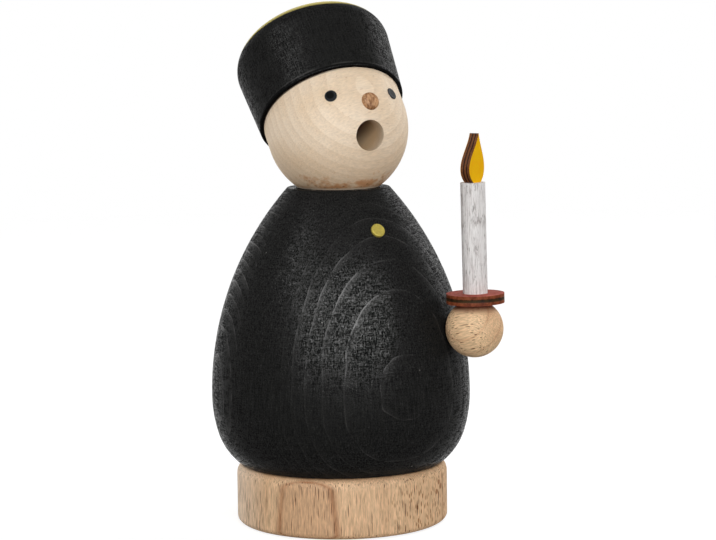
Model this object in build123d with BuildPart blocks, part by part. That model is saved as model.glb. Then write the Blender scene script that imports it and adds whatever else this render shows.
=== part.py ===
"""German incense smoker: a turned wooden figure that lifts off its beech base to take a burning cone.

The smoke rises from the cone's dish through the hollow body and the neck, and leaves by the round mouth.
Millimetres and degrees. The origin is the middle of the base's underside, +Z is up, the front is -Y.
"""
import os
from math import asin, cos, degrees, radians, sin, sqrt, tan

from build123d import *

# Fits
glue_gap = 0.05  # film of glue round a pegged joint, on the radius
end_relief = 0.5  # air left at the blind end of a pegged joint
lift_clearance = 0.3  # play round the register that the figure lifts off, on the radius

# Base, a beech disc with a register turned on top
base_dia = 56.0
base_height = 16.0
base_foot_round = 1.6
base_top_round = 3.2
register_height = 5.0
register_lead = 0.8

# Dish for the cone, pressed from tin and nailed to the register
dish_floor_dia = 24.0
dish_rim_dia = 30.0
dish_depth = 3.5
dish_sheet = 0.5
dish_bend = 1.5
nail_dia = 1.8
nail_length = 12.0
nail_head_dia = 4.5
nail_head_height = 0.7

# Body, turned to a pear of three arcs that run into each other
body_height = 72.8
belly_dia = 68.6
belly_rise = 18.05
shoulder_arc = 82.45
flank_arc = 34.3
flank_angle = 16.85
heel_arc = 16.25
body_edge_round = 0.4
cavity_dia = 40.0
cavity_depth = 36.0
cavity_roof_angle = 45.0
air_hole_dia = 8.0
air_hole_rise = 13.0

# Neck, a drilled dowel that holds the head and carries the smoke
neck_dia = 12.0
smoke_bore_dia = 7.5
neck_in_body = 8.0
neck_in_head = 7.0

# Head, a ball with a flat seat, turned straight from its middle up into the hat
head_dia = 37.2
head_seat_dia = 21.44
mouth_dia = 8.0
mouth_drop = 0.75  # below the ball's middle
mouth_side_angle = -0.7
nose_dia = 4.65
nose_side_angle = 2.2
nose_above_mouth = 2.58  # wood between mouth and nose, measured round the ball
nose_depth = 3.2
nose_stand = 1.2
nose_round = 1.1
eye_dia = 3.2
eye_height = 0.2
eye_side_angle = 33.8
eye_lift_angle = 30.4
eye_shank_dia = 1.2
eye_shank_length = 6.0

# Hat, a tapered pillbox bored to sit on the head, well back on it
hat_tilt_angle = 41.1
hat_side_angle = 4.1
hat_hem_rise = 5.6
hat_hem_wall = 0.97  # wood between the bore and the hem's edge
hat_flare = 1.78  # the top stands out past the hem, on the radius
hat_height = 23.9
hat_bore_depth = 9.0
hat_top_round = 6.3
hat_hem_round = 0.3

# Hand, a beech ball pegged to the body, with the candle in it
hand_dia = 15.0
hand_side_angle = 34.3
hand_rise = 35.7
hand_sink = 0.58
hand_seat_depth = 0.25
hand_seat_clearance = 0.3
hand_flat = 6.7
dowel_dia = 4.0
dowel_in_body = 7.0
dowel_in_hand = 3.9

# Candle: a dowel through a plywood tray, with a plywood flame in its end
tray_dia = 15.0
tray_thick = 2.5
candle_dia = 6.4
candle_height = 28.6
candle_in_hand = 5.0
candle_lean_angle = 1.0
candle_lean_side_angle = -118.0
candle_offset = 0.43  # the hole is drilled off the ball's middle, away from the lean
flame_height = 12.55
flame_width = 6.0
flame_belly_rise = 3.9
flame_foot = 2.9
flame_neck = 3.3
flame_neck_rise = 8.2
flame_tip_shift = 1.1
flame_thick = 3.0
flame_side_angle = 20.0
flame_tenon_width = 2.4
flame_tenon_depth = 4.0

# Button, a brass-headed pin on the chest
button_dia = 3.7
button_height = 0.7
button_round = 0.3
button_drop = 10.0
button_shank_dia = 1.4
button_shank_length = 6.0

# Heights up the axis
body_foot = base_height
body_top = body_foot + body_height
belly_height = body_foot + belly_rise
register_top = base_height + register_height
dish_floor_top = register_top + dish_sheet
cavity_straight_top = body_foot + cavity_depth
head_radius = head_dia / 2
head_rise = sqrt(head_radius**2 - (head_seat_dia / 2) ** 2)
head_centre = Vector(0, 0, body_top + head_rise)


def body_surface(height):
    """Radius and upward lean of the body's skin at a height on the shoulder arc."""
    lean = asin((height - belly_height) / shoulder_arc)
    return belly_dia / 2 - shoulder_arc * (1 - cos(lean)), degrees(lean)


def heading(turn, lean):
    """Unit vector that is turned from the front towards +X and leans up."""
    flat = cos(radians(lean))
    return Vector(sin(radians(turn)) * flat, -cos(radians(turn)) * flat, sin(radians(lean)))


def section(origin, axis):
    """Plane through an axis: its Y runs along the axis, its X square to it and level."""
    level = axis.cross(Vector(0, 0, 1)).normalized()
    return Plane(origin=origin, x_dir=level, z_dir=level.cross(axis))


os.makedirs("parts", exist_ok=True)

# Base disc with the register and the pilot hole for the dish's nail
register_radius = cavity_dia / 2 - lift_clearance
nail_hole_depth = nail_length - dish_sheet + end_relief
with BuildPart() as base_disc:
    with BuildSketch(Plane.XZ) as base_profile:
        with BuildLine():
            Polyline(
                (0, 0),
                (base_dia / 2, 0),
                (base_dia / 2, base_height),
                (register_radius, base_height),
                (register_radius, register_top),
                (0, register_top),
                close=True,
            )
        make_face()
        fillet(base_profile.vertices().group_by(Axis.X)[-1].sort_by(Axis.Y)[0], base_foot_round)
        fillet(base_profile.vertices().group_by(Axis.X)[-1].sort_by(Axis.Y)[-1], base_top_round)
        chamfer(base_profile.vertices().group_by(Axis.Y)[-1].sort_by(Axis.X)[-1], register_lead)
    revolve(axis=Axis.Z)
    with Locations((0, 0, register_top)):
        Hole(nail_dia / 2 + glue_gap, nail_hole_depth)
base_disc.part.label = "base_disc"
export_step(base_disc.part, "parts/base_disc.step")

# Dish: a flat floor with a flared rim, one sheet thick all over
flare = Vector(dish_rim_dia / 2 - dish_floor_dia / 2, dish_depth)
rim_across = dish_sheet * flare.length / flare.Y
corner_in = dish_sheet * (flare.length - flare.X) / flare.Y
with BuildPart() as incense_dish:
    with BuildSketch(Plane.XZ) as dish_profile:
        with BuildLine():
            Polyline(
                (nail_dia / 2 + glue_gap, register_top),
                (dish_floor_dia / 2, register_top),
                (dish_rim_dia / 2, register_top + dish_depth),
                (dish_rim_dia / 2 - rim_across, register_top + dish_depth),
                (dish_floor_dia / 2 - corner_in, dish_floor_top),
                (nail_dia / 2 + glue_gap, dish_floor_top),
                close=True,
            )
        make_face()
        fillet(dish_profile.vertices().group_by(Axis.Y)[0].sort_by(Axis.X)[-1], dish_bend + dish_sheet)
        inside_bend = (dish_floor_dia / 2 - corner_in, dish_floor_top)
        fillet(dish_profile.vertices().sort_by_distance(inside_bend)[0], dish_bend)
    revolve(axis=Axis.Z)
incense_dish.part.label = "incense_dish"
export_step(incense_dish.part, "parts/incense_dish.step")

# Nail through the dish's floor into the base
with BuildPart() as dish_nail:
    with BuildSketch(Plane.XY.offset(dish_floor_top)):
        Circle(nail_head_dia / 2)
    extrude(amount=nail_head_height)
    fillet(dish_nail.edges().sort_by(Axis.Z)[-1], nail_head_height / 2)
    with BuildSketch(Plane.XY.offset(dish_floor_top)):
        Circle(nail_dia / 2)
    extrude(amount=-nail_length)
    chamfer(dish_nail.edges().sort_by(Axis.Z)[0], nail_dia / 3)
dish_nail.part.label = "dish_nail"
export_step(dish_nail.part, "parts/dish_nail.step")

# Hand's place on the body: the peg stands square to the skin
hand_skin_radius, hand_lean = body_surface(body_foot + hand_rise)
hand_axis = heading(hand_side_angle, hand_lean)
hand_level = heading(hand_side_angle, 0)
hand_contact = hand_level * hand_skin_radius + Vector(0, 0, body_foot + hand_rise)
hand_centre = hand_contact + hand_axis * (hand_dia / 2 - hand_sink)
hand_seat = hand_contact - hand_axis * hand_seat_depth
hand_seat_radius = sqrt(hand_dia * hand_sink - hand_sink**2) + hand_seat_clearance

# Button's place on the chest
button_skin_radius, button_lean = body_surface(body_top - button_drop)
button_axis = heading(0, button_lean)
button_seat = Vector(0, -button_skin_radius, body_top - button_drop)

# Body shell: shoulder, flank and heel arcs outside, a bored and coned cavity inside
top_lean = body_surface(body_top)[1]
flank_end = Vector(
    belly_dia / 2 - flank_arc * (1 - cos(radians(flank_angle))),
    belly_height - flank_arc * sin(radians(flank_angle)),
)
heel_centre = flank_end - Vector(cos(radians(flank_angle)), -sin(radians(flank_angle))) * heel_arc
heel_angle = degrees(asin((heel_centre.Y - body_foot) / heel_arc))
roof_top = cavity_straight_top + (cavity_dia - smoke_bore_dia) / 2 * tan(radians(cavity_roof_angle))
with BuildPart() as body_shell:
    with BuildSketch(Plane.XZ) as body_profile:
        with BuildLine():
            heel = CenterArc(heel_centre, heel_arc, -heel_angle, heel_angle - flank_angle)
            CenterArc((belly_dia / 2 - flank_arc, belly_height), flank_arc, -flank_angle, flank_angle)
            shoulder = CenterArc((belly_dia / 2 - shoulder_arc, belly_height), shoulder_arc, 0, top_lean)
            Polyline(shoulder @ 1, (0, body_top), (0, body_foot), heel @ 0)
        make_face()
        fillet(body_profile.vertices().group_by(Axis.Y)[-1].sort_by(Axis.X)[-1], body_edge_round)
    revolve(axis=Axis.Z)
    with BuildSketch(Plane.XZ):
        with BuildLine():
            Polyline(
                (0, body_foot),
                (cavity_dia / 2, body_foot),
                (cavity_dia / 2, cavity_straight_top),
                (smoke_bore_dia / 2, roof_top),
                (smoke_bore_dia / 2, body_top - neck_in_body),
                (neck_dia / 2 + glue_gap, body_top - neck_in_body),
                (neck_dia / 2 + glue_gap, body_top),
                (0, body_top),
                close=True,
            )
        make_face()
    revolve(axis=Axis.Z, mode=Mode.SUBTRACT)
    with BuildSketch(Plane(origin=(0, 0, body_foot + air_hole_rise), x_dir=(1, 0, 0), z_dir=(0, 1, 0))):
        Circle(air_hole_dia / 2)
    extrude(amount=belly_dia, mode=Mode.SUBTRACT)
    with BuildSketch(Plane(origin=hand_seat, z_dir=hand_axis)):
        Circle(hand_seat_radius)
    extrude(amount=hand_dia, mode=Mode.SUBTRACT)
    with BuildSketch(Plane(origin=hand_seat, z_dir=hand_axis)):
        Circle(dowel_dia / 2 + glue_gap)
    extrude(amount=-dowel_in_body, mode=Mode.SUBTRACT)
    with BuildSketch(Plane(origin=button_seat, z_dir=button_axis)):
        Circle(button_shank_dia / 2 + glue_gap)
    extrude(amount=-button_shank_length - end_relief, mode=Mode.SUBTRACT)
body_shell.part.label = "body_shell"
export_step(body_shell.part, "parts/body_shell.step")

# Neck tube, standing in the body's socket and reaching up into the head's
with BuildPart() as neck_tube:
    with BuildSketch(Plane.XY.offset(body_top - neck_in_body)):
        Circle(neck_dia / 2)
        Circle(smoke_bore_dia / 2, mode=Mode.SUBTRACT)
    extrude(amount=neck_in_body + neck_in_head - end_relief)
neck_tube.part.label = "neck_tube"
export_step(neck_tube.part, "parts/neck_tube.step")

# Head: turned about the hat's axis, cut flat to stand on the body, bored from below and from the mouth
hat_axis = heading(180 - hat_side_angle, 90 - hat_tilt_angle)
hat_bore_rise = hat_hem_rise + hat_bore_depth
head_top_rise = hat_bore_rise - end_relief
mouth_axis = heading(mouth_side_angle, 0)
mouth_end = head_centre - Vector(0, 0, mouth_drop) - mouth_axis * (smoke_bore_dia / 2 + end_relief)
mouth_brow = asin((mouth_dia / 2 - mouth_drop) / head_radius)
nose_lift = degrees(mouth_brow + (nose_above_mouth + nose_dia / 2) / head_radius)
nose_axis = heading(nose_side_angle, nose_lift)
eye_left_axis = heading(eye_side_angle, eye_lift_angle)
eye_right_axis = heading(-eye_side_angle, eye_lift_angle)
with BuildPart() as head:
    with BuildSketch(section(head_centre, hat_axis)):
        with BuildLine():
            ball = CenterArc((0, 0), head_radius, -90, 90)
            Polyline(ball @ 1, (head_radius, head_top_rise), (0, head_top_rise), ball @ 0)
        make_face()
    revolve(axis=Axis(head_centre, hat_axis))
    split(bisect_by=Plane.XY.offset(body_top), keep=Keep.TOP)
    with BuildSketch(Plane.XY.offset(body_top)):
        Circle(neck_dia / 2 + glue_gap)
    extrude(amount=neck_in_head, mode=Mode.SUBTRACT)
    with BuildSketch(Plane.XY.offset(body_top)):
        Circle(smoke_bore_dia / 2)
    extrude(amount=head_rise - mouth_drop, mode=Mode.SUBTRACT)
    with BuildSketch(Plane(origin=mouth_end, z_dir=mouth_axis)):
        Circle(mouth_dia / 2)
    extrude(amount=head_dia, mode=Mode.SUBTRACT)
    with BuildSketch(Plane(origin=head_centre + nose_axis * (head_radius - nose_depth), z_dir=nose_axis)):
        Circle(nose_dia / 2 + glue_gap)
    extrude(amount=head_radius, mode=Mode.SUBTRACT)
    for axis in (eye_left_axis, eye_right_axis):
        with BuildSketch(Plane(origin=head_centre + axis * head_radius, z_dir=axis)):
            Circle(eye_shank_dia / 2 + glue_gap)
        extrude(amount=-eye_shank_length - end_relief, mode=Mode.SUBTRACT)
head.part.label = "head"
export_step(head.part, "parts/head.step")

# Nose: a short dowel with a rounded end
with BuildPart() as nose_peg:
    with BuildSketch(Plane(origin=head_centre + nose_axis * (head_radius - nose_depth), z_dir=nose_axis)):
        Circle(nose_dia / 2)
    extrude(amount=nose_depth + nose_stand)
    fillet(nose_peg.edges().sort_by(Axis(head_centre, nose_axis))[-1], nose_round)
nose_peg.part.label = "nose_peg"
export_step(nose_peg.part, "parts/nose_peg.step")

# Eyes: black pins with flat heads, driven square to the ball
with BuildPart() as eye_left:
    with BuildSketch(Plane(origin=head_centre + eye_left_axis * head_radius, z_dir=eye_left_axis)):
        Circle(eye_dia / 2)
    extrude(amount=eye_height)
    fillet(eye_left.edges().sort_by(Axis(head_centre, eye_left_axis))[-1], eye_height / 2)
    with BuildSketch(Plane(origin=head_centre + eye_left_axis * head_radius, z_dir=eye_left_axis)):
        Circle(eye_shank_dia / 2)
    extrude(amount=-eye_shank_length)
eye_left.part.label = "eye_left"
export_step(eye_left.part, "parts/eye_left.step")

with BuildPart() as eye_right:
    add(eye_left.part)
    mirror(about=Plane.YZ, mode=Mode.REPLACE)
eye_right.part.label = "eye_right"
export_step(eye_right.part, "parts/eye_right.step")

# Hat: the pillbox with its bore, turned whole
bore_half = head_radius + glue_gap
hem_half = bore_half + hat_hem_wall
top_half = hem_half + hat_flare
with BuildPart() as hat:
    with BuildSketch(section(head_centre, hat_axis)) as hat_profile:
        with BuildLine():
            Polyline(
                (0, hat_bore_rise),
                (bore_half, hat_bore_rise),
                (bore_half, hat_hem_rise),
                (hem_half, hat_hem_rise),
                (top_half, hat_hem_rise + hat_height),
                (0, hat_hem_rise + hat_height),
                close=True,
            )
        make_face()
        fillet(hat_profile.vertices().group_by(Axis.Y)[-1].sort_by(Axis.X)[-1], hat_top_round)
        fillet(hat_profile.vertices().group_by(Axis.Y)[0].sort_by(Axis.X)[-1], hat_hem_round)
    revolve(axis=Axis(head_centre, hat_axis))
hat.part.label = "hat"
export_step(hat.part, "parts/hat.step")

# Hand: a ball flattened against the body and under the tray, drilled for the peg and the candle
candle_axis = heading(candle_lean_side_angle, 90 - candle_lean_angle)
tray_middle = hand_centre + candle_axis * hand_flat - heading(candle_lean_side_angle, 0) * candle_offset
tray_foot = Plane(origin=tray_middle, z_dir=candle_axis)
with BuildPart() as hand:
    with Locations(hand_centre):
        Sphere(hand_dia / 2)
    split(bisect_by=Plane(origin=hand_seat, z_dir=hand_axis), keep=Keep.TOP)
    split(bisect_by=tray_foot, keep=Keep.BOTTOM)
    with BuildSketch(Plane(origin=hand_seat, z_dir=hand_axis)):
        Circle(dowel_dia / 2 + glue_gap)
    extrude(amount=dowel_in_hand, mode=Mode.SUBTRACT)
    with BuildSketch(tray_foot):
        Circle(candle_dia / 2 + glue_gap)
    extrude(amount=-candle_in_hand, mode=Mode.SUBTRACT)
hand.part.label = "hand"
export_step(hand.part, "parts/hand.step")

with BuildPart() as hand_dowel:
    with BuildSketch(Plane(origin=hand_seat - hand_axis * dowel_in_body, z_dir=hand_axis)):
        Circle(dowel_dia / 2)
    extrude(amount=dowel_in_body + dowel_in_hand - end_relief)
hand_dowel.part.label = "hand_dowel"
export_step(hand_dowel.part, "parts/hand_dowel.step")

# Tray: a plywood disc threaded on the candle
with BuildPart() as candle_tray:
    with BuildSketch(tray_foot):
        Circle(tray_dia / 2)
        Circle(candle_dia / 2 + glue_gap, mode=Mode.SUBTRACT)
    extrude(amount=tray_thick)
candle_tray.part.label = "candle_tray"
export_step(candle_tray.part, "parts/candle_tray.step")

# Candle: a dowel from the hand up through the tray, mortised for the flame
candle_top = tray_foot.offset(tray_thick + candle_height)
flame_across = candle_axis.cross(heading(flame_side_angle, 0)).normalized()
flame_plane = Plane(origin=candle_top.origin, x_dir=flame_across, z_dir=flame_across.cross(candle_axis))
with BuildPart() as candle:
    with BuildSketch(candle_top):
        Circle(candle_dia / 2)
    extrude(amount=-candle_height - tray_thick - candle_in_hand + end_relief)
    with BuildSketch(flame_plane):
        with Locations((0, -flame_tenon_depth / 2)):
            Rectangle(flame_tenon_width + 2 * glue_gap, flame_tenon_depth)
    extrude(amount=flame_thick / 2 + glue_gap, both=True, mode=Mode.SUBTRACT)
candle.part.label = "candle"
export_step(candle.part, "parts/candle.step")

# Flame: cut from plywood, with a tenon for the candle
with BuildPart() as flame:
    with BuildSketch(flame_plane):
        with BuildLine():
            right = Spline(
                (flame_foot / 2, 0),
                (flame_width / 2, flame_belly_rise),
                (flame_neck / 2 + flame_tip_shift / 2, flame_neck_rise),
                (flame_tip_shift, flame_height),
            )
            left = Spline(
                (-flame_foot / 2, 0),
                (-flame_width / 2, flame_belly_rise),
                (-flame_neck / 2 + flame_tip_shift / 2, flame_neck_rise),
                (flame_tip_shift, flame_height),
            )
            Line(left @ 0, right @ 0)
        make_face()
        with Locations((0, (end_relief - flame_tenon_depth) / 2)):
            Rectangle(flame_tenon_width, flame_tenon_depth - end_relief)
    extrude(amount=flame_thick / 2, both=True)
flame.part.label = "flame"
export_step(flame.part, "parts/flame.step")

# Button: a pin with a rounded flat head
with BuildPart() as chest_button:
    with BuildSketch(Plane(origin=button_seat, z_dir=button_axis)):
        Circle(button_dia / 2)
    extrude(amount=button_height)
    fillet(chest_button.edges().sort_by(Axis(button_seat, button_axis))[-1], button_round)
    with BuildSketch(Plane(origin=button_seat, z_dir=button_axis)):
        Circle(button_shank_dia / 2)
    extrude(amount=-button_shank_length)
chest_button.part.label = "chest_button"
export_step(chest_button.part, "parts/chest_button.step")
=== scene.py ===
"""Looks of a german incense smoker: stained, painted and bare turned wood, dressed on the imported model.

The frame is in metres, the front is -Y and +Z is up. The sizes of pieces and patterns are in millimetres, and
a texture's scale is its cells per millimetre. The floor, the lamps and the camera are in metres.
"""
from math import cos, radians, sin

import bpy
import numpy as np
from mathutils import Euler, Matrix, Vector


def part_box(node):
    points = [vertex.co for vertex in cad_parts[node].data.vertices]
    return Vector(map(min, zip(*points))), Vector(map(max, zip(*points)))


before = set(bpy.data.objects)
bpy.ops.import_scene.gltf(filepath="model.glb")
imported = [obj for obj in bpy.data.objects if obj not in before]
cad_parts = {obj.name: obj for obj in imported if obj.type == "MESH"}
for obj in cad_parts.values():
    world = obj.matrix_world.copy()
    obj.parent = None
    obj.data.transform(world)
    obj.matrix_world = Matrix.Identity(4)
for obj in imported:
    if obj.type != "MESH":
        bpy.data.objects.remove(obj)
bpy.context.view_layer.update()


# Base disc
# A slice of beech bar, turned with a register on top that the figure drops over. The grain stands
# upright, so the side shows long flecks and one flat-sawn arch, and the top shows end grain.
def colour(code):
    """sRGB hex to linear RGBA."""
    levels = np.array([int(code[i : i + 2], 16) for i in (1, 3, 5)]) / 255
    linear = np.where(levels <= 0.04045, levels / 12.92, ((levels + 0.055) / 1.055) ** 2.4)
    return (*linear, 1.0)


def add(tree, kind, sockets, out=0, **settings):
    """Adds a shader node with its settings, fills its sockets with values or links, gives one output."""
    made = tree.nodes.new("ShaderNode" + kind)
    for name, value in settings.items():
        setattr(made, name, value)
    for key, value in sockets.items():
        if isinstance(value, bpy.types.NodeSocket):
            tree.links.new(value, made.inputs[key])
        else:
            made.inputs[key].default_value = value
    return made.outputs[out]


def begin(name, sockets):
    """Starts a material: its tree, its shader's sockets with the constants set, and places in millimetres."""
    material = bpy.data.materials.new(name)
    material.use_nodes = True
    tree = material.node_tree
    shader = tree.nodes["Principled BSDF"].inputs
    for key, value in sockets.items():
        shader[key].default_value = value
    place = add(tree, "TexCoord", {}, out="Object")
    return material, tree, shader, add(tree, "VectorMath", {0: place, "Scale": 1000}, operation="SCALE")


def surface(tree, shader, tone, relief, height, strength=1.0, invert=False):
    """Ends a material: its colour, and its relief as a bump of that height in millimetres."""
    tree.links.new(tone, shader["Base Color"])
    bump = {"Height": relief, "Distance": height / 1000, "Strength": strength}
    tree.links.new(add(tree, "Bump", bump, invert=invert), shader["Normal"])


def bearing(turn, lean=0.0):
    """Unit vector turned by degrees from the front towards +X and leaning up."""
    flat = cos(radians(lean))
    return Vector((sin(radians(turn)) * flat, -cos(radians(turn)) * flat, sin(radians(lean))))


def grain_turn(along, across):
    """Turn of a grain frame whose Z runs along the fibres and whose X points across the growth layers."""
    z = along.normalized()
    x = (across - z * across.dot(z)).normalized()
    return Matrix((x, z.cross(x), z)).transposed().to_euler()


def dress(node, material):
    """Gives a CAD node its finish, in the one slot that it has."""
    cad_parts[node].material_slots[0].material = material


def middle(node):
    """Middle of a CAD node's box, in millimetres."""
    low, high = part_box(node)
    return (low + high) * 500


def flecks(tree, grain, lattice, spindle):
    """Short dark rays: an ellipsoid of half sizes spindle round each point of a jittered lattice.

    It shows as a dash along the grain and as a dot on end grain, and each has its own strength.
    """
    cells = add(tree, "VectorMath", {0: grain, 1: lattice}, operation="DIVIDE")
    chance = add(tree, "TexVoronoi", {"Vector": cells, "Scale": 1}, out="Color")
    off = add(tree, "VectorMath", {0: cells, 1: chance.node.outputs["Position"]}, operation="SUBTRACT")
    stretch = [size / half for size, half in zip(lattice, spindle)]
    off = add(tree, "VectorMath", {0: off, 1: stretch}, operation="MULTIPLY")
    reach = add(tree, "VectorMath", {0: off}, out="Value", operation="LENGTH")
    depth = add(tree, "MapRange", {0: reach, 1: 1.0, 2: 0.5, 3: 0.0, 4: 1.0}, interpolation_type="SMOOTHSTEP")
    strength = add(tree, "SeparateColor", {0: chance})
    return add(tree, "Math", {0: depth, 1: strength}, operation="MULTIPLY")


# A wave texture of scale 1 repeats at this many units.
wave_step = 0.314


def beech(name, centre, turn, ring, pale, late, fleck, spindle, seep_and_tray_shade=None, pale_side=None,
          heart=None, polish_and_shade=None, dots=()):
    """Bare sanded beech: soft layers, fine fibres and the short dark spindles of its rays.

    Layers are a wave across the grain frame, a ring apart, that darkens within half a millimetre of each
    edge. Fibres are drawn coarser than real ones, so that they show. End grain, where the surface faces
    along the fibres, is browner and shows hardly any rays. The red stain from the tray is given by a point
    and an axis:
    it has crept one or two millimetres down that axis from the point, and the same dark red there is also
    painted shadow of the tray. The pale side is a pair of places along the frame's Y between which the wood
    turns paler, while the side that faces the other way shows short flakes. Heart is a pair along its X
    between which it turns browner. The shade under the figure is a direction and a radius: painted shadow,
    near black, on what faces up inside an oval of that radius, reaching further along the direction. Dots are
    places of small brown marks.
    """
    material, tree, shader, mm = begin(name, {"Roughness": 0.6, "Specular IOR Level": 0.06})
    grain = add(tree, "Mapping", {"Vector": mm, "Location": centre, "Rotation": turn}, vector_type="TEXTURE")
    drawn = add(tree, "VectorMath", {0: grain, 1: (1, 1, 0.12)}, operation="MULTIPLY")
    wobble = {"Distortion": 1.6 / ring, "Detail": 2, "Detail Scale": 0.5}
    layers = add(tree, "TexWave", {"Vector": drawn, "Scale": wave_step / ring, **wobble},
                 out="Fac", bands_direction="X", wave_profile="TRI")
    clouds = add(tree, "TexNoise", {"Vector": drawn, "Scale": 0.35, "Detail": 4, "Roughness": 0.7}, out="Fac")
    depth = add(tree, "MapRange", {0: clouds, 1: 0.35, 2: 0.6, 3: 0.5, 4: 0.85})
    share = add(tree, "MapRange", {0: layers, 1: 1.1 / ring, 2: 0.0, 3: 0.0, 4: 1.0})
    share = add(tree, "Math", {0: share, 1: depth}, operation="MULTIPLY")
    warm = add(tree, "MapRange", {0: clouds, 1: 0.4, 2: 0.7, 3: 0.0, 4: 0.3})
    share = add(tree, "Math", {0: share, 1: warm}, operation="MAXIMUM")
    if heart:
        across = add(tree, "SeparateXYZ", {0: grain}, out="X")
        inner = add(tree, "MapRange", {0: across, 1: heart[0], 2: heart[1], 3: 0.0, 4: 0.35})
        share = add(tree, "Math", {0: share, 1: inner}, operation="MAXIMUM")
    facing = add(tree, "NewGeometry", {}, out="Normal")
    along = turn.to_matrix() @ Vector((0, 0, 1))
    endwise = add(tree, "VectorMath", {0: facing, 1: along}, out="Value", operation="DOT_PRODUCT")
    endwise = add(tree, "Math", {0: endwise}, operation="ABSOLUTE")
    brown = add(tree, "MapRange", {0: endwise, 1: 0.6, 2: 0.9, 3: 0.0, 4: 0.3})
    share = add(tree, "Math", {0: share, 1: brown}, operation="ADD")
    tone = add(tree, "Mix", {0: share, 6: colour(pale), 7: colour(late)}, out=2, data_type="RGBA")
    # Paler wood toward one side of the frame, with short flakes on the side that faces the other way.
    if pale_side:
        flake_spacing, flake_half = (0.62, 0.9, 2.0), (0.22, 0.55, 0.9)
        flakes = flecks(tree, grain, flake_spacing, flake_half)
        quarter = turn.to_matrix() @ Vector((0, -1, 0))
        quarter = add(tree, "VectorMath", {0: facing, 1: quarter}, out="Value", operation="DOT_PRODUCT")
        quarter = add(tree, "MapRange", {0: quarter, 1: 0.6, 2: 0.97, 3: 0.0, 4: 1.5})
        flakes = add(tree, "Math", {0: flakes, 1: quarter}, operation="MULTIPLY")
        tone = add(tree, "Mix", {0: flakes, 6: tone, 7: colour("#8a5a30")}, out=2, data_type="RGBA")
        across = add(tree, "SeparateXYZ", {0: grain}, out="Y")
        outer = add(tree, "MapRange", {0: across, 1: pale_side[0], 2: pale_side[1], 3: 0.0, 4: 1.0})
        tone = add(tree, "Mix", {0: outer, 6: tone, 7: colour("#f4dec6")}, out=2, data_type="RGBA")
    fibre = (0.3125, 0.3125, 2.857)
    fine = add(tree, "VectorMath", {0: grain, 1: fibre}, operation="DIVIDE")
    fibres = add(tree, "TexNoise", {"Vector": fine, "Scale": 1, "Detail": 2, "Roughness": 0.65}, out="Fac")
    shade = add(tree, "MapRange", {0: fibres, 1: 0.3, 2: 0.7, 3: 0.68, 4: 1.2})
    tone = add(tree, "VectorMath", {0: tone, "Scale": shade}, operation="SCALE")
    ray_spacing = (0.6, 0.6, 5.0)
    marks = flecks(tree, grain, ray_spacing, spindle)
    marks = add(tree, "MapRange", {0: marks, 1: 0.2, 2: 0.7, 3: 0.0, 4: 1.0})
    sideways = add(tree, "MapRange", {0: endwise, 1: 0.55, 2: 0.8, 3: 1.0, 4: 0.05})
    marks = add(tree, "Math", {0: marks, 1: sideways}, operation="MULTIPLY")
    tone = add(tree, "Mix", {0: marks, 6: tone, 7: colour(fleck)}, out=2, data_type="RGBA")
    mark_edge, mark_full = 1.25, 0.95
    for dot in dots:
        off = add(tree, "VectorMath", {0: mm, 1: dot}, out="Value", operation="DISTANCE")
        off = add(tree, "Math", {0: fibres, 1: 0.7, 2: off}, operation="MULTIPLY_ADD")
        mark = add(tree, "MapRange", {0: off, 1: mark_edge, 2: mark_full, 3: 0.0, 4: 0.8})
        tone = add(tree, "Mix", {0: mark, 6: tone, 7: colour("#8f5a34")}, out=2, data_type="RGBA")
    # Dark red under the tray: red stain that has crept down, and painted shadow of the tray.
    if seep_and_tray_shade:
        point, axis = seep_and_tray_shade
        height = add(tree, "VectorMath", {0: mm, 1: axis}, out="Value", operation="DOT_PRODUCT")
        height = add(tree, "Math", {0: fibres, 1: 1.6, 2: height}, operation="MULTIPLY_ADD")
        level = point.dot(axis)
        red = add(tree, "MapRange", {0: height, 1: level - 1.4, 2: level + 0.2, 3: 0.0, 4: 0.9})
        tone = add(tree, "Mix", {0: red, 6: tone, 7: colour("#6b3220")}, out=2, data_type="RGBA")
    # Painted shadow where the figure sits on the base: near black on what faces up, inside an oval.
    if polish_and_shade:
        wide, radius = polish_and_shade
        flat = add(tree, "VectorMath", {0: mm, 1: (1, 1, 0)}, operation="MULTIPLY")
        off = add(tree, "VectorMath", {0: flat}, out="Value", operation="LENGTH")
        aside = add(tree, "VectorMath", {0: mm, 1: wide}, out="Value", operation="DOT_PRODUCT")
        aside = add(tree, "Math", {0: aside}, operation="ABSOLUTE")
        widening = 0.045
        off = add(tree, "Math", {0: aside, 1: -widening, 2: off}, operation="MULTIPLY_ADD")
        off = add(tree, "Math", {0: fibres, 1: 0.8, 2: off}, operation="MULTIPLY_ADD")
        black = add(tree, "MapRange", {0: off, 1: radius + 0.6, 2: radius + 0.1, 3: 0.0, 4: 0.92})
        up = add(tree, "SeparateXYZ", {0: facing}, out="Z")
        black = add(tree, "Math", {0: black, 1: up}, operation="MULTIPLY")
        tone = add(tree, "Mix", {0: black, 6: tone, 7: colour("#1c1009")}, out=2, data_type="RGBA")
    relief = add(tree, "Math", {0: fibres, 1: marks}, operation="SUBTRACT")
    surface(tree, shader, tone, relief, 0.04)
    return material


arch_side = bearing(-47.5)
grain_slope = 0.03
bar_grain = Vector((0, 0, 1)) + grain_slope * arch_side
base_radius = 28.0
dot_places = ((37, 11.7), (34, 9.4), (39.5, 10.4))
dots = [bearing(turn) * base_radius + Vector((0, 0, height)) for turn, height in dot_places]
# The base's top carries painted shadow under the figure's rim.
dress("base_disc", beech("turned_beech", middle("base_disc"), grain_turn(bar_grain, -arch_side), ring=27.1,
                         pale="#e5c098", late="#a06a44", fleck="#4e2a12", spindle=(0.26, 0.12, 2.7),
                         pale_side=(12.0, 28.0), heart=(-26.5, -27.3), polish_and_shade=(bearing(56), 25.5), dots=dots))


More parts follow.
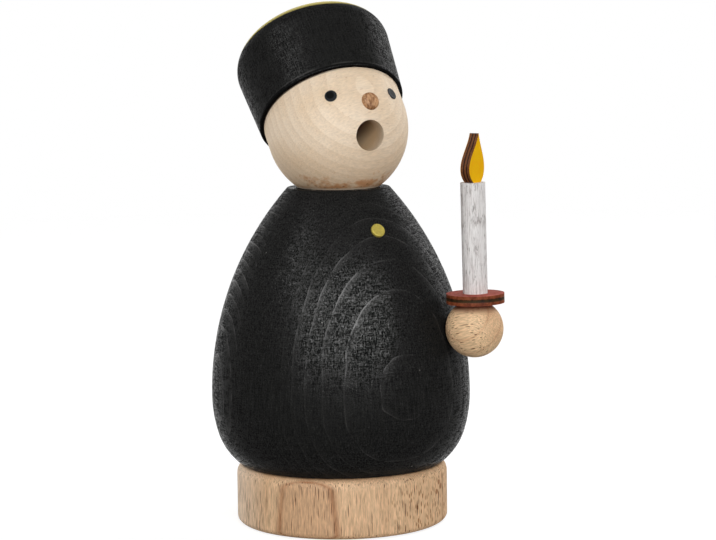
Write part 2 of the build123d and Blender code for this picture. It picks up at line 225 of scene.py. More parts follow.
# Incense dish and its nail
# The dish is pressed from tinplate and blackened by the cones burnt on it. A round-headed steel nail
# through its floor holds it to the register.
def scorched_tin(name):
    """Tinplate, dull and mottled, brown with soot towards its middle."""
    material, tree, shader, mm = begin(name, {"Metallic": 0.9, "Roughness": 0.42})
    clouds = add(tree, "TexNoise", {"Vector": mm, "Scale": 0.35, "Detail": 4}, out="Fac")
    flat = add(tree, "VectorMath", {0: mm, 1: (1, 1, 0)}, operation="MULTIPLY")
    from_middle = add(tree, "VectorMath", {0: flat}, out="Value", operation="LENGTH")
    soot = add(tree, "MapRange", {0: from_middle, 1: 13.0, 2: 3.0, 3: 0.0, 4: 1.0})
    soot = add(tree, "Math", {0: soot, 1: clouds}, operation="MULTIPLY")
    soot = add(tree, "MapRange", {0: soot, 1: 0.05, 2: 0.5, 3: 0.1, 4: 0.95})
    tone = add(tree, "Mix", {0: soot, 6: colour("#a9a49b"), 7: colour("#2f241c")}, out=2, data_type="RGBA")
    surface(tree, shader, tone, clouds, 0.1, strength=0.4)
    return material


tinplate = scorched_tin("scorched_tinplate")
dress("incense_dish", tinplate)
dress("dish_nail", tinplate)


# Body shell
# The pear-shaped body is turned from a block glued up of two boards, hollowed for the cone and stained
# black. Stain sinks less into the hard edge of each growth layer, so that pale rings show on the belly.
def black_stain(name, centre, turn, boards, polish, joint=0.0, gilt=None, hem=None):
    """Black-stained turned wood: pale layer lines in a sheen that lathe lines and fibres break up.

    A board's depth is its reach less the place along its normal, and a line stands at each whole number of
    a count, a + b depth + c depth squared. The way to the next line, over how fast the count climbs along
    the slanting surface, is the distance inside a line. Each board has its last line, how pale its lines are
    and how far round from its middle they show. The first board ends at the joint along its normal. Fibres,
    pores and lathe lines are drawn a third of a millimetre wide, coarser than real ones, so that they show.
    Polish is the weight of the coat that handling leaves on lines and high spots, low down and higher up.
    The gilt pair is a band of gold paint between two heights along the lathe axis, with a painted highlight
    along its middle, and the hem is the height of a thin painted highlight line, with painted shade, near
    black, below it on the hat's lower edge.
    """
    material, tree, shader, mm = begin(name, {"Specular IOR Level": 0.026, "Coat Roughness": 0.25})
    grain = add(tree, "Mapping", {"Vector": mm, "Location": centre, "Rotation": turn}, vector_type="TEXTURE")
    wander = add(tree, "TexNoise", {"Vector": mm, "Scale": 0.06, "Detail": 2}, out="Fac")
    ragged = add(tree, "TexNoise", {"Vector": mm, "Scale": 0.3, "Detail": 2}, out="Fac")
    facing = add(tree, "NewGeometry", {}, out="Normal")
    count = None
    for board in reversed(boards):
        normal, last, spread = board["normal"], board["last"], board["spread"]
        first, rate, growth = board["count"]
        along = add(tree, "VectorMath", {0: mm, 1: normal}, out="Value", operation="DOT_PRODUCT")
        depth = add(tree, "Math", {0: board["reach"], 1: along}, operation="SUBTRACT")
        depth = add(tree, "Math", {0: wander, 1: 1.6, 2: depth}, operation="MULTIPLY_ADD")
        steps = add(tree, "Math", {0: depth, 1: growth, 2: rate}, operation="MULTIPLY_ADD")
        steps = add(tree, "Math", {0: steps, 1: depth, 2: first}, operation="MULTIPLY_ADD")
        slant = add(tree, "VectorMath", {0: facing, 1: normal}, operation="CROSS_PRODUCT")
        slant = add(tree, "VectorMath", {0: slant}, out="Value", operation="LENGTH")
        slope = add(tree, "Math", {0: depth, 1: 2 * growth, 2: rate}, operation="MULTIPLY_ADD")
        slope = add(tree, "Math", {0: slope, 1: slant}, operation="MULTIPLY")
        faint = add(tree, "MapRange", {0: steps, 1: 0.4 * last, 2: last, 3: 1.0, 4: 0.0})
        sideways = normal.cross(Vector((0, 0, 1))).normalized()
        round_from = add(tree, "VectorMath", {0: facing, 1: sideways}, out="Value", operation="DOT_PRODUCT")
        round_from = add(tree, "Math", {0: round_from}, operation="ABSOLUTE")
        round_from = add(tree, "Math", {0: ragged, 1: 0.4, 2: round_from}, operation="MULTIPLY_ADD")
        shown = add(tree, "MapRange", {0: round_from, 1: 0.25 * spread, 2: spread, 3: 1.0, 4: 0.0})
        faint = add(tree, "Math", {0: faint, 1: shown}, operation="MULTIPLY")
        if count is None:
            count, climb, fade, pale = steps, slope, faint, board["paleness"]
        else:
            here = add(tree, "Math", {0: along, 1: joint}, operation="GREATER_THAN")
            count = add(tree, "Mix", {0: here, 2: count, 3: steps})
            climb = add(tree, "Mix", {0: here, 2: climb, 3: slope})
            fade = add(tree, "Mix", {0: here, 2: fade, 3: faint})
            pale = add(tree, "Mix", {0: here, 2: pale, 3: board["paleness"]})
    left = add(tree, "Math", {0: count}, operation="FRACT")
    left = add(tree, "Math", {0: 1.0, 1: left}, operation="SUBTRACT")
    inside = add(tree, "Math", {0: left, 1: climb}, operation="DIVIDE")
    edge = add(tree, "MapRange", {0: inside, 1: 0.15, 2: 0.45, 3: 1.0, 4: 0.0})
    tail = add(tree, "MapRange", {0: inside, 1: 0.0, 2: 2.2, 3: 0.3, 4: 0.0})
    line = add(tree, "Math", {0: edge, 1: tail}, operation="MAXIMUM")
    line = add(tree, "Math", {0: line, 1: fade}, operation="MULTIPLY")
    patchy = add(tree, "TexNoise", {"Vector": grain, "Scale": 0.22, "Detail": 3}, out="Fac")
    patchy = add(tree, "MapRange", {0: patchy, 1: 0.38, 2: 0.62, 3: 0.1, 4: 1.0})
    line = add(tree, "Math", {0: line, 1: patchy}, operation="MULTIPLY")

    fibre, lathe_line = (0.3125, 0.3125, 4.0), (2.5, 2.5, 0.3333)
    fine = add(tree, "VectorMath", {0: grain, 1: fibre}, operation="DIVIDE")
    fibres = add(tree, "TexNoise", {"Vector": fine, "Scale": 1, "Detail": 1}, out="Fac")
    turned = add(tree, "VectorMath", {0: grain, 1: lathe_line}, operation="DIVIDE")
    lathe = add(tree, "TexNoise", {"Vector": turned, "Scale": 1, "Detail": 1}, out="Fac")
    pores = add(tree, "TexNoise", {"Vector": mm, "Scale": 3.1, "Detail": 1, "Roughness": 0.6}, out="Fac")
    wood = add(tree, "Math", {0: pores, 1: 1.5, 2: fibres}, operation="MULTIPLY_ADD")
    weave = add(tree, "Math", {0: lathe, 1: 0.6, 2: wood}, operation="MULTIPLY_ADD")
    worn_and_glint = add(tree, "MapRange", {0: weave, 1: 1.5, 2: 2.1, 3: 0.0, 4: 1.0})
    worn_and_glint = add(tree, "Math", {0: worn_and_glint, 1: 2.4}, operation="POWER")
    thin = add(tree, "MapRange", {0: weave, 1: 1.2, 2: 2.0, 3: 0.0, 4: 1.0})
    tone = add(tree, "Mix", {0: thin, 6: colour("#000000"), 7: colour("#222221")}, out=2, data_type="RGBA")
    # Paler high spots where the stain is thin, which also stand for glints as painted highlights.
    tone = add(tree, "Mix", {0: worn_and_glint, 6: tone, 7: colour("#2a2a29")}, out=2, data_type="RGBA")
    pale = add(tree, "Math", {0: line, 1: pale}, operation="MULTIPLY")
    tone = add(tree, "Mix", {0: pale, 6: tone, 7: colour("#6b6967")}, out=2, data_type="RGBA")
    dust_spacing, dust_half = (6.0, 6.0, 6.0), (0.3, 0.3, 0.4)
    dust = flecks(tree, mm, dust_spacing, dust_half)
    dust = add(tree, "MapRange", {0: dust, 1: 0.6, 2: 0.9, 3: 0.0, 4: 0.4})
    tone = add(tree, "Mix", {0: dust, 6: tone, 7: colour("#9a9893")}, out=2, data_type="RGBA")
    shine = add(tree, "Math", {0: lathe, 1: 0.4, 2: weave}, operation="MULTIPLY_ADD")
    shine = add(tree, "Math", {0: line, 1: 0.8, 2: shine}, operation="MULTIPLY_ADD")
    gloss = add(tree, "MapRange", {0: shine, 1: 1.6, 2: 1.95, 3: 0.8, 4: 0.15})
    if gilt:
        sway = 1.2
        low, high = (level + sway / 2 for level in gilt)
        highlight_height = (low + high) / 2
        height = add(tree, "SeparateXYZ", {0: grain}, out="Z")
        height = add(tree, "Math", {0: wander, 1: sway, 2: height}, operation="MULTIPLY_ADD")
        above = add(tree, "Math", {0: height, 1: low}, operation="GREATER_THAN")
        below = add(tree, "Math", {0: height, 1: high}, operation="LESS_THAN")
        painted = add(tree, "Math", {0: above, 1: below}, operation="MULTIPLY")
        # Painted highlight: the gold is palest along the middle of the band.
        off_highlight = add(tree, "Math", {0: height, 1: highlight_height}, operation="SUBTRACT")
        off_highlight = add(tree, "Math", {0: off_highlight}, operation="ABSOLUTE")
        gold_highlight_and_mottle = add(tree, "MapRange", {0: off_highlight, 1: high - highlight_height, 2: 0.3, 3: 0.0, 4: 0.8})
        gold_highlight_and_mottle = add(tree, "Math", {0: pores, 1: 0.3, 2: gold_highlight_and_mottle}, operation="MULTIPLY_ADD")
        gold = {0: gold_highlight_and_mottle, 6: colour("#75631a"), 7: colour("#ddcf80")}
        gold = add(tree, "Mix", gold, out=2, data_type="RGBA")
        tone = add(tree, "Mix", {0: painted, 6: tone, 7: gold}, out=2, data_type="RGBA")
    # Painted shade below the hem height, and a painted highlight line just above it, on the hat's lower edge.
    if hem:
        height = add(tree, "SeparateXYZ", {0: grain}, out="Z")
        below = add(tree, "MapRange", {0: height, 1: hem + 0.05, 2: hem - 0.05, 3: 0.0, 4: 1.0})
        tone = add(tree, "Mix", {0: below, 6: tone, 7: colour("#010101")}, out=2, data_type="RGBA")
        off_hem = add(tree, "Math", {0: height, 1: hem + 0.2}, operation="SUBTRACT")
        off_hem = add(tree, "Math", {0: off_hem}, operation="ABSOLUTE")
        painted_edge_highlight = add(tree, "MapRange", {0: off_hem, 1: 0.1, 2: 0.3, 3: 1.0, 4: 0.0})
        painted_edge_highlight = add(tree, "Math", {0: painted_edge_highlight, 1: patchy}, operation="MULTIPLY")
        tone = add(tree, "Mix", {0: painted_edge_highlight, 6: tone, 7: colour("#333231")}, out=2, data_type="RGBA")
    tree.links.new(gloss, shader["Roughness"])
    # In this material the name carries only the coat of polish that handling leaves on lines and high spots.
    polish_and_shade = add(tree, "Math", {0: line, 1: worn_and_glint}, operation="MAXIMUM")
    height = add(tree, "SeparateXYZ", {0: mm}, out="Z")
    low, high = 22.0, 58.0
    handled = add(tree, "MapRange", {0: height, 1: low, 2: high, 3: polish[0], 4: polish[1]})
    polish_and_shade = add(tree, "Math", {0: polish_and_shade, 1: handled}, operation="MULTIPLY")
    tree.links.new(polish_and_shade, shader["Coat Weight"])
    relief = add(tree, "Math", {0: line, 1: 0.5, 2: wood}, operation="MULTIPLY_ADD")
    surface(tree, shader, tone, relief, 0.03)
    return material


upright = Euler((0, 0, 0))
front_board = dict(normal=bearing(1, 3.3), reach=36.0, count=(-0.2555, 0.25, 0.0055), last=7,
                   paleness=0.15, spread=2.0)
rear_board = dict(normal=bearing(-101, 1.2), reach=34.3, count=(0.5, 0.82, 0.0), last=18,
                  paleness=0.9, spread=0.56)
dress("body_shell", black_stain("black_stained_body", middle("body_shell"), upright,
                                boards=(front_board, rear_board), polish=(0.06, 0.2), joint=7.0))


# Neck tube
# A drilled beech dowel, glued into the body and the head to carry the smoke up. Only its bore can be
# glimpsed, brown with smoke.
dress("neck_tube", beech("neck_beech", middle("neck_tube"), upright, ring=2.5,
                         pale="#c39a6c", late="#a87b50", fleck="#6c472b", spindle=(0.36, 0.17, 2.2)))


# Head
# A ball of pale maple with a flat seat, bored for the smoke. The bore is browned by smoke, with painted shade
# and light over that, a little stain and glue has crept up from the seam with the body, and painted shadow of
# the hat lies along its hem.
def pale_maple(name, centre, radius, seat, hat_axis, hem):
    """Creamy sanded maple: faint arcs round the brow, short ray dashes, browner toward the seat.

    Deeper than a thin skin inside the ball's radius it is browned by smoke and painted with shade and light,
    most where it is deep: near black toward the upper left of the bore and pale on its lower right side,
    where light falls in.
    Over the seat a noise sets how high brown stain has crept. Just under the hat's hem, on one side, it is
    painted near black as the hat's shadow. Fibres are drawn coarser than real ones, so that they show.
    """
    material, tree, shader, mm = begin(name, {"Roughness": 0.55, "Specular IOR Level": 0.06})
    turn = grain_turn(Vector((1, 0.1, 0.12)), bearing(9, 38))
    grain = add(tree, "Mapping", {"Vector": mm, "Location": centre, "Rotation": turn}, vector_type="TEXTURE")
    drawn = add(tree, "VectorMath", {0: grain, 1: (1, 0.5, 0.3)}, operation="MULTIPLY")
    ring = 2.3
    wobble = {"Distortion": 2.0, "Detail": 2, "Detail Scale": 0.8}
    layers = add(tree, "TexWave", {"Vector": drawn, "Scale": wave_step / ring, **wobble},
                 out="Fac", bands_direction="X", wave_profile="SAW")
    share = add(tree, "MapRange", {0: layers, 1: 0.2, 2: 1.0, 3: 0.0, 4: 0.5})
    tone = add(tree, "Mix", {0: share, 6: colour("#ecd8bf"), 7: colour("#dcc3a6")}, out=2, data_type="RGBA")
    clouds = add(tree, "TexNoise", {"Vector": mm, "Scale": 0.12, "Detail": 3}, out="Fac")
    warm = add(tree, "MapRange", {0: clouds, 1: 0.4, 2: 0.75, 3: 0.0, 4: 0.4})
    tone = add(tree, "Mix", {0: warm, 6: tone, 7: colour("#dfbf97")}, out=2, data_type="RGBA")
    height = add(tree, "SeparateXYZ", {0: mm}, out="Z")
    chin = add(tree, "MapRange", {0: height, 1: seat + 13.0, 2: seat + 1.0, 3: 0.0, 4: 0.5})
    tone = add(tree, "Mix", {0: chin, 6: tone, 7: colour("#c3a27c")}, out=2, data_type="RGBA")
    fibre = (0.4167, 0.4167, 2.0)
    fine = add(tree, "VectorMath", {0: grain, 1: fibre}, operation="DIVIDE")
    fibres = add(tree, "TexNoise", {"Vector": fine, "Scale": 1, "Detail": 2, "Roughness": 0.65}, out="Fac")
    shade = add(tree, "MapRange", {0: fibres, 1: 0.3, 2: 0.7, 3: 0.9, 4: 1.08})
    tone = add(tree, "VectorMath", {0: tone, "Scale": shade}, operation="SCALE")
    ray_spacing, ray_half = (0.6, 0.8, 2.6), (0.1, 0.3, 0.9)
    marks = flecks(tree, grain, ray_spacing, ray_half)
    marks = add(tree, "MapRange", {0: marks, 1: 0.2, 2: 1.0, 3: 0.0, 4: 0.4})
    tone = add(tree, "Mix", {0: marks, 6: tone, 7: colour("#b38a66")}, out=2, data_type="RGBA")

    toward = add(tree, "VectorMath", {0: mm, 1: bearing(5)}, out="Value", operation="DOT_PRODUCT")
    front = add(tree, "MapRange", {0: toward, 1: -6.0, 2: 8.0, 3: 0.3, 4: 1.0})
    creep = add(tree, "TexNoise", {"Vector": mm, "Scale": 0.35, "Detail": 4, "Roughness": 0.6}, out="Fac")
    edge = add(tree, "MapRange", {0: creep, 1: 0.4, 2: 0.65, 3: seat + 1.4, 4: seat + 6.8})
    over = add(tree, "Math", {0: edge, 1: height}, operation="SUBTRACT")
    stain = add(tree, "MapRange", {0: over, 1: 0.0, 2: 4.0, 3: 0.0, 4: 0.65})
    stain = add(tree, "Math", {0: stain, 1: front}, operation="MULTIPLY")
    tone = add(tree, "Mix", {0: stain, 6: tone, 7: colour("#b9722f")}, out=2, data_type="RGBA")
    spot_spacing, spot_half = (1.1, 1.1, 1.1), (0.5, 0.5, 0.4)
    spots = flecks(tree, mm, spot_spacing, spot_half)
    low = add(tree, "MapRange", {0: over, 1: 0.6, 2: 3.0, 3: 0.0, 4: 0.6})
    spots = add(tree, "Math", {0: spots, 1: low}, operation="MULTIPLY")
    tone = add(tree, "Mix", {0: spots, 6: tone, 7: colour("#5e3010")}, out=2, data_type="RGBA")
    glue = add(tree, "MapRange", {0: height, 1: seat + 0.55, 2: seat + 0.3, 3: 0.0, 4: 0.7})
    tone = add(tree, "Mix", {0: glue, 6: tone, 7: colour("#e8d6bf")}, out=2, data_type="RGBA")

    off_centre = add(tree, "VectorMath", {0: mm, 1: centre}, operation="SUBTRACT")
    rise = add(tree, "VectorMath", {0: off_centre, 1: hat_axis}, out="Value", operation="DOT_PRODUCT")
    # Painted shadow of the hat: near black just under its hem, on one side.
    hem_shade = add(tree, "MapRange", {0: rise, 1: hem - 0.45, 2: hem - 0.2, 3: 0.0, 4: 1.0})
    side = add(tree, "VectorMath", {0: off_centre, 1: bearing(-118)}, out="Value", operation="DOT_PRODUCT")
    side = add(tree, "MapRange", {0: side, 1: -3.0, 2: 5.0, 3: 0.0, 4: 0.9})
    hem_shade = add(tree, "Math", {0: hem_shade, 1: side}, operation="MULTIPLY")
    tone = add(tree, "Mix", {0: hem_shade, 6: tone, 7: colour("#2a1c12")}, out=2, data_type="RGBA")
    from_centre = add(tree, "VectorMath", {0: off_centre}, out="Value", operation="LENGTH")
    skin, deep = radius - 0.25, radius - 5.0
    smoke_and_shade = add(tree, "MapRange", {0: from_centre, 1: skin, 2: deep, 3: 0.0, 4: 0.95})
    inside = add(tree, "Math", {0: from_centre, 1: skin}, operation="LESS_THAN")
    smoke_and_shade = add(tree, "Math", {0: smoke_and_shade, 1: inside}, operation="MULTIPLY")
    # Painted light and shade in the bore: dark toward the upper left, pale on the lower right side, where
    # light falls in.
    painted_wall_light = add(tree, "VectorMath", {0: off_centre, 1: bearing(62, -40)}, out="Value", operation="DOT_PRODUCT")
    painted_wall_light = add(tree, "MapRange", {0: painted_wall_light, 1: 3.6, 2: 7.6, 3: 0.0, 4: 1.0})
    soot = add(tree, "Mix", {0: painted_wall_light, 6: colour("#421303"), 7: colour("#f6d5a8")}, out=2, data_type="RGBA")
    tone = add(tree, "Mix", {0: smoke_and_shade, 6: tone, 7: soot}, out=2, data_type="RGBA")
    relief = add(tree, "Math", {0: fibres, 1: marks}, operation="SUBTRACT")
    surface(tree, shader, tone, relief, 0.03)
    return material


head_radius = 18.6
head_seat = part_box("head")[0].z * 1000
seat_to_centre = 15.2
head_centre = Vector((0, 0, head_seat + seat_to_centre))
hat_axis = bearing(175.9, 48.9)
hat_hem = 5.6
dress("head", pale_maple("pale_maple", head_centre, head_radius, head_seat, hat_axis, hat_hem))


# Nose peg
# A short dowel of darker wood, rounded at its end and glued into a hole in the head. It is set end-on, so
# that its domed face shows end grain with pale rays.
def end_grain(name, centre, axis):
    """Brown end grain: mottled cells with paler rays, a noise drawn out along one way across the peg."""
    material, tree, shader, mm = begin(name, {"Roughness": 0.5, "Specular IOR Level": 0.06})
    turn = grain_turn(axis, Vector((1, 0, 0)))
    grain = add(tree, "Mapping", {"Vector": mm, "Location": centre, "Rotation": turn}, vector_type="TEXTURE")
    ray = (0.5263, 1.25, 10.0)
    drawn = add(tree, "VectorMath", {0: grain, 1: ray}, operation="DIVIDE")
    rays = add(tree, "TexNoise", {"Vector": drawn, "Scale": 1, "Detail": 3, "Distortion": 0.6}, out="Fac")
    share = add(tree, "MapRange", {0: rays, 1: 0.38, 2: 0.66, 3: 0.0, 4: 1.0})
    tone = add(tree, "Mix", {0: share, 6: colour("#835838"), 7: colour("#cb9e74")}, out=2, data_type="RGBA")
    surface(tree, shader, tone, rays, 0.1, strength=0.6)
    return material


dress("nose_peg", end_grain("nose_end_grain", middle("nose_peg"), bearing(2.2, 25.2)))


# Eyes
# Two flat-headed steel pins, dipped in black enamel and driven square into the ball, so that only their
# heads show.
def black_enamel(name, centre):
    """Thick brushed enamel: nearly black, satin, with a faint orange-peel skin, greyer at the rim as a
    painted highlight.
    """
    material, tree, shader, mm = begin(name, {"Specular IOR Level": 0.025, "Roughness": 0.3})
    peel = add(tree, "TexNoise", {"Vector": mm, "Scale": 1.4, "Detail": 2}, out="Fac")
    tone = add(tree, "Mix", {0: peel, 6: colour("#040404"), 7: colour("#0c0c0d")}, out=2, data_type="RGBA")
    off = add(tree, "VectorMath", {0: mm, 1: centre}, out="Value", operation="DISTANCE")
    rim_start, rim_end = 0.85, 1.25
    # Painted highlight: a greyer ring at the enamel's rim.
    rim = add(tree, "MapRange", {0: off, 1: rim_start, 2: rim_end, 3: 0.0, 4: 0.8})
    tone = add(tree, "Mix", {0: rim, 6: tone, 7: colour("#2c2d30")}, out=2, data_type="RGBA")
    surface(tree, shader, tone, peel, 0.1, strength=0.3)
    return material


for eye in ("eye_left", "eye_right"):
    pin_head = head_centre + (middle(eye) - head_centre).normalized() * head_radius
    dress(eye, black_enamel(f"{eye}_black_enamel", pin_head))


# Hat
# A pillbox turned from one block, bored to sit on the head, stained black like the body. A line of gold
# paint runs round its rounded top edge, laid by hand with a brush.
hat_board = dict(normal=bearing(60, -20), reach=20.0, count=(0.3, 0.16, 0.004), last=9,
                 paleness=0.08, spread=2.0)
# How far above the head's hem the painted shade band on the hat's lower edge reaches.
shaded_band_rise = 0.8
dress("hat", black_stain("black_stained_hat", head_centre, grain_turn(hat_axis, Vector((1, 0, 0))),
                         boards=(hat_board,), polish=(0.05, 0.05), gilt=(26.0, 28.8),
                         hem=hat_hem + shaded_band_rise))


# Hand and its peg
# A beech ball drilled along its grain for the peg that joins it to the body, and from above for the
# candle. The tray's red stain has crept a little way down the ball, and the same dark red there is also
# painted shadow of the tray. The peg is a plain glued dowel.
hand_axis = bearing(34.3, 12.4)
candle_axis = bearing(-118, 89)
hand_centre = middle("hand")
tray_seat = 7.0
dress("hand", beech("hand_beech", hand_centre, grain_turn(hand_axis, bearing(-40, 40)), ring=4.5,
                    pale="#e9c69c", late="#cfa27c", fleck="#6d4529", spindle=(0.26, 0.13, 3.2),
                    seep_and_tray_shade=(hand_centre + tray_seat * candle_axis, candle_axis)))
dress("hand_dowel", beech("dowel_beech", middle("hand_dowel"), grain_turn(hand_axis, Vector((0, 0, 1))),
                          ring=2.5, pale="#d6b38c", late="#bf926c", fleck="#83593b",
                          spindle=(0.36, 0.17, 2.2)))


# Candle tray
# A disc cut from three-ply birch, stained red and threaded on the candle over the hand. The cut edge shows
# the plies, the middle one darker.
def red_ply(name, centre, axis, thick):
    """Red stain on birch ply: blotchy on the faces, brown on the cut edge, darkest on the middle ply."""
    material, tree, shader, mm = begin(name, {"Roughness": 0.55, "Specular IOR Level": 0.03})
    blotch = add(tree, "TexNoise", {"Vector": mm, "Scale": 0.7, "Detail": 4, "Roughness": 0.65}, out="Fac")
    share = add(tree, "MapRange", {0: blotch, 1: 0.35, 2: 0.65, 3: 0.0, 4: 1.0})
    face = add(tree, "Mix", {0: share, 6: colour("#812e23"), 7: colour("#b76151")}, out=2, data_type="RGBA")
    height = add(tree, "VectorMath", {0: mm, 1: axis}, out="Value", operation="DOT_PRODUCT")
    height = add(tree, "Math", {0: height, 1: centre.dot(axis)}, operation="SUBTRACT")
    sway, soft = 0.3, 0.12
    ragged = add(tree, "Math", {0: blotch, 1: sway, 2: height}, operation="MULTIPLY_ADD")
    off_middle = add(tree, "Math", {0: ragged, 1: sway / 2}, operation="SUBTRACT")
    off_middle = add(tree, "Math", {0: off_middle}, operation="ABSOLUTE")
    outer = add(tree, "MapRange", {0: off_middle, 1: thick / 6 - soft, 2: thick / 6 + soft, 3: 0.0, 4: 1.0})
    skin = add(tree, "Mix", {0: share, 6: colour("#5c2a17"), 7: colour("#8d4b2e")}, out=2, data_type="RGBA")
    core = add(tree, "Mix", {0: share, 6: colour("#20140a"), 7: colour("#3f2c14")}, out=2, data_type="RGBA")
    ply = add(tree, "Mix", {0: outer, 6: core, 7: skin}, out=2, data_type="RGBA")
    away = add(tree, "Math", {0: height}, operation="ABSOLUTE")
    on_face = add(tree, "Math", {0: away, 1: thick / 2 - 0.04}, operation="GREATER_THAN")
    tone = add(tree, "Mix", {0: on_face, 6: ply, 7: face}, out=2, data_type="RGBA")
    relief = add(tree, "Math", {0: outer, 1: blotch}, operation="ADD")
    surface(tree, shader, tone, relief, 0.08)
    return material


dress("candle_tray", red_ply("red_stained_ply", middle("candle_tray"), candle_axis, thick=2.5))


# Candle
# A beech dowel washed with thin white paint, so that the grey grain shows through in upright streaks
# and the paint has cracked along them.
def white_wash(name, centre, turn):
    """Thin white paint on wood: chalky white, grey and mauve streaks along the grain, hair cracks.

    A crack is where a drawn-out noise passes its middle value. Streaks are drawn coarser than real fibres, so
    that they show.
    """
    material, tree, shader, mm = begin(name, {"Roughness": 0.65, "Specular IOR Level": 0.05})
    grain = add(tree, "Mapping", {"Vector": mm, "Location": centre, "Rotation": turn}, vector_type="TEXTURE")
    streak, crack_gap = (0.4167, 0.4167, 4.545), (1.111, 1.111, 10.0)
    fine = add(tree, "VectorMath", {0: grain, 1: streak}, operation="DIVIDE")
    streaks = add(tree, "TexNoise", {"Vector": fine, "Scale": 1, "Detail": 4, "Roughness": 0.7}, out="Fac")
    bare = add(tree, "MapRange", {0: streaks, 1: 0.45, 2: 0.72, 3: 0.0, 4: 0.75})
    clouds = add(tree, "TexNoise", {"Vector": grain, "Scale": 0.3, "Detail": 3}, out="Fac")
    hue = add(tree, "Mix", {0: clouds, 6: colour("#8c8684"), 7: colour("#a89392")}, out=2, data_type="RGBA")
    tone = add(tree, "Mix", {0: bare, 6: colour("#e9e6e4"), 7: hue}, out=2, data_type="RGBA")
    drawn = add(tree, "VectorMath", {0: grain, 1: crack_gap}, operation="DIVIDE")
    field = add(tree, "TexNoise", {"Vector": drawn, "Scale": 1, "Detail": 3, "Roughness": 0.6}, out="Fac")
    field = add(tree, "Math", {0: field, 1: 0.5}, operation="SUBTRACT")
    field = add(tree, "Math", {0: field}, operation="ABSOLUTE")
    crack = add(tree, "MapRange", {0: field, 1: 0.006, 2: 0.022, 3: 1.0, 4: 0.0})
    gaps = add(tree, "MapRange", {0: clouds, 1: 0.42, 2: 0.6, 3: 0.0, 4: 0.75})
    crack = add(tree, "Math", {0: crack, 1: gaps}, operation="MULTIPLY")
    tone = add(tree, "Mix", {0: crack, 6: tone, 7: colour("#6f625e")}, out=2, data_type="RGBA")
    relief = add(tree, "Math", {0: streaks, 1: crack}, operation="ADD")
    surface(tree, shader, tone, relief, 0.08, invert=True)
    return material


dress("candle", white_wash("white_washed_beech", middle("candle"), grain_turn(candle_axis, bearing(20))))


# Flame
# Cut from birch ply by laser, which leaves its edge scorched brown, and painted yellow on both faces. A
# tenon at its foot is glued into the candle.
def flame_paint(name, centre, turn, thick):
    """Opaque yellow on the faces, scorched plies between them, darkest at the glue lines."""
    material, tree, shader, mm = begin(name, {"Roughness": 0.5, "Specular IOR Level": 0.05})
    local = add(tree, "Mapping", {"Vector": mm, "Location": centre, "Rotation": turn}, vector_type="TEXTURE")
    across = add(tree, "SeparateXYZ", {0: local}, out="X")
    away = add(tree, "Math", {0: across}, operation="ABSOLUTE")
    scorch = add(tree, "TexNoise", {"Vector": mm, "Scale": 1.2, "Detail": 3}, out="Fac")
    sway = 0.3
    uneven = add(tree, "Math", {0: scorch, 1: sway, 2: away}, operation="MULTIPLY_ADD")
    uneven = add(tree, "Math", {0: uneven, 1: thick / 6 + sway / 2}, operation="SUBTRACT")
    uneven = add(tree, "Math", {0: uneven}, operation="ABSOLUTE")
    glue = add(tree, "MapRange", {0: uneven, 1: 0.1, 2: 0.3, 3: 1.0, 4: 0.0})
    wood = add(tree, "Mix", {0: scorch, 6: colour("#4a2612"), 7: colour("#85532f")}, out=2, data_type="RGBA")
    ply = add(tree, "Mix", {0: glue, 6: wood, 7: colour("#220f06")}, out=2, data_type="RGBA")
    brush = add(tree, "TexNoise", {"Vector": mm, "Scale": 0.5, "Detail": 2}, out="Fac")
    face = add(tree, "Mix", {0: brush, 6: colour("#eac103"), 7: colour("#ea9f03")}, out=2, data_type="RGBA")
    on_face = add(tree, "Math", {0: away, 1: thick / 2 - 0.05}, operation="GREATER_THAN")
    tone = add(tree, "Mix", {0: on_face, 6: ply, 7: face}, out=2, data_type="RGBA")
    relief = add(tree, "Math", {0: scorch, 1: glue}, operation="SUBTRACT")
    surface(tree, shader, tone, relief, 0.05)
    return material


dress("flame", flame_paint("flame_ply", middle("flame"), grain_turn(candle_axis, bearing(20)), thick=3.0))


# Chest button
# A pin with a flat head, dipped in the same gold paint as the line on the hat and driven into the chest
# just under the head.
def gold_paint(name, centre):
    """Bronze-powder paint: an olive gold, mottled where the powder lies thin, paler at the rim as a painted
    highlight on its edge.
    """
    material, tree, shader, mm = begin(name, {"Metallic": 0.1, "Roughness": 0.5, "Specular IOR Level": 0.04})
    powder = add(tree, "TexNoise", {"Vector": mm, "Scale": 1.8, "Detail": 3, "Roughness": 0.65}, out="Fac")
    share = add(tree, "MapRange", {0: powder, 1: 0.35, 2: 0.65, 3: 0.0, 4: 1.0})
    off = add(tree, "VectorMath", {0: mm, 1: centre}, out="Value", operation="DISTANCE")
    rim_start, rim_end = 1.35, 1.8
    # Painted highlight: the paint is paler round the edge of the head.
    rim = add(tree, "MapRange", {0: off, 1: rim_start, 2: rim_end, 3: 0.0, 4: 0.6})
    tone = add(tree, "Mix", {0: share, 6: colour("#483a06"), 7: colour("#937f24")}, out=2, data_type="RGBA")
    tone = add(tree, "Mix", {0: rim, 6: tone, 7: colour("#b3a552")}, out=2, data_type="RGBA")
    surface(tree, shader, tone, powder, 0.08)
    return material


dress("chest_button", gold_paint("gold_paint", middle("chest_button")))


# Stage
# A pale floor, a white surround, and a softbox in front, one at the left and two from behind. Three more
# lamps show only as a sheen in what is polished. The camera is level with the hat, away from the candle.
scene = bpy.context.scene
scene.view_settings.view_transform = "Standard"


def background_ray(tree):
    """One on the rays that show the background, seen, mirrored or through something clear, else nought."""
    rays = add(tree, "LightPath", {}).node.outputs
    shown = add(tree, "Math", {0: rays["Is Camera Ray"], 1: rays["Is Glossy Ray"]}, operation="MAXIMUM")
    return add(tree, "Math", {0: shown, 1: rays["Is Transmission Ray"]}, operation="MAXIMUM")


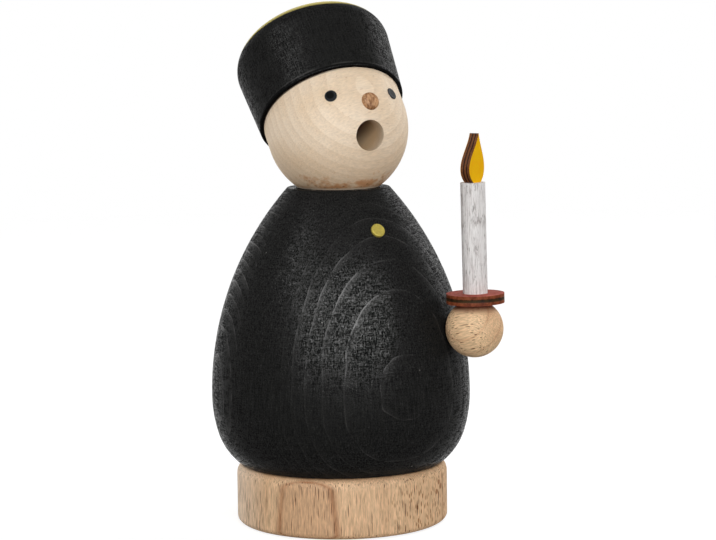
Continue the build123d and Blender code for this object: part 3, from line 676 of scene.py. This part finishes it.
floor_reach = 0.9
floor_drop = 0.0002
floor_glow = 0.79
floor_fade_mm = (200.0, 880.0)
floor_mesh = bpy.data.meshes.new("floor")
corners = np.array([(-1, -1), (1, -1), (1, 1), (-1, 1)]) * floor_reach
floor_mesh.from_pydata([(x, y, -floor_drop) for x, y in corners], [], [(0, 1, 2, 3)])
floor = bpy.data.objects.new("floor", floor_mesh)
scene.collection.objects.link(floor)
paper, tree, shader, mm = begin("pale_paper", {"Roughness": 0.9, "Specular IOR Level": 0.0})
shader["Base Color"].default_value = colour("#a4a4a4")
shader["Emission Color"].default_value = colour("#ffffff")
glow = add(tree, "Math", {0: background_ray(tree), 1: floor_glow}, operation="MULTIPLY")
tree.links.new(glow, shader["Emission Strength"])
from_middle = add(tree, "VectorMath", {0: mm}, out="Value", operation="LENGTH")
solid = add(tree, "MapRange", {0: from_middle, 1: floor_fade_mm[1], 2: floor_fade_mm[0], 3: 0.0, 4: 1.0})
tree.links.new(solid, shader["Alpha"])
floor_mesh.materials.append(paper)

world = bpy.data.worlds.new("white_surround")
scene.world = world
world.use_nodes = True
tree = world.node_tree
ambient = 0.26
level = add(tree, "MapRange", {0: background_ray(tree), 3: ambient, 4: 1.0})
surround = tree.nodes["Background"].inputs
surround["Color"].default_value = colour("#ffffff")
tree.links.new(level, surround["Strength"])

aim = Vector((0, 0, 0.065))
camera_turn = -28.0
lamp_distance = 1.0


def softbox(name, turn, lift, power, size=(0.5, 0.5)):
    """Area lamp, wide by tall, turned from the camera's bearing, lifted, and facing the figure."""
    lamp = bpy.data.lights.new(name, "AREA")
    lamp.shape = "RECTANGLE"
    lamp.size, lamp.size_y = size
    lamp.energy = power
    place = aim + bearing(camera_turn + turn, lift) * lamp_distance
    placed = bpy.data.objects.new(name, lamp)
    facing = (aim - place).to_track_quat("-Z", "Y").to_matrix().to_4x4()
    placed.matrix_world = Matrix.Translation(place) @ facing
    scene.collection.objects.link(placed)
    return placed


softbox("key_softbox", turn=14, lift=14, power=5.8)
softbox("left_fill", turn=-56, lift=33, power=2.3)
left_rim = softbox("left_rim", turn=-128, lift=6, power=3.8)
right_rim = softbox("right_rim", turn=125, lift=36, power=3.8)
left_rim.visible_glossy = right_rim.visible_glossy = False
front_sheen = softbox("front_sheen", turn=6, lift=25, power=83.0, size=(1.8, 0.7))
left_sheen = softbox("left_sheen", turn=-60, lift=44, power=7.0)
right_sheen = softbox("right_sheen", turn=134, lift=20, power=1.8)
for sheen in (front_sheen, left_sheen, right_sheen):
    sheen.visible_diffuse = False

camera_distance = 0.640
camera_height = 0.143
camera_pitch = 6.81
camera_roll = -0.70
camera_yaw = 0.44
focal_pixels = 2434
frame_pixels = 716
camera_data = bpy.data.cameras.new("camera")
camera_data.sensor_width = 36.0
camera_data.lens = focal_pixels / frame_pixels * camera_data.sensor_width
camera = bpy.data.objects.new("camera", camera_data)
stand = bearing(camera_turn) * camera_distance + Vector((0, 0, camera_height))
heading = (Matrix.Rotation(radians(camera_turn - camera_yaw), 4, "Z")
           @ Matrix.Rotation(radians(90 - camera_pitch), 4, "X")
           @ Matrix.Rotation(radians(camera_roll), 4, "Z"))
camera.matrix_world = Matrix.Translation(stand) @ heading
scene.collection.objects.link(camera)
scene.camera = camera
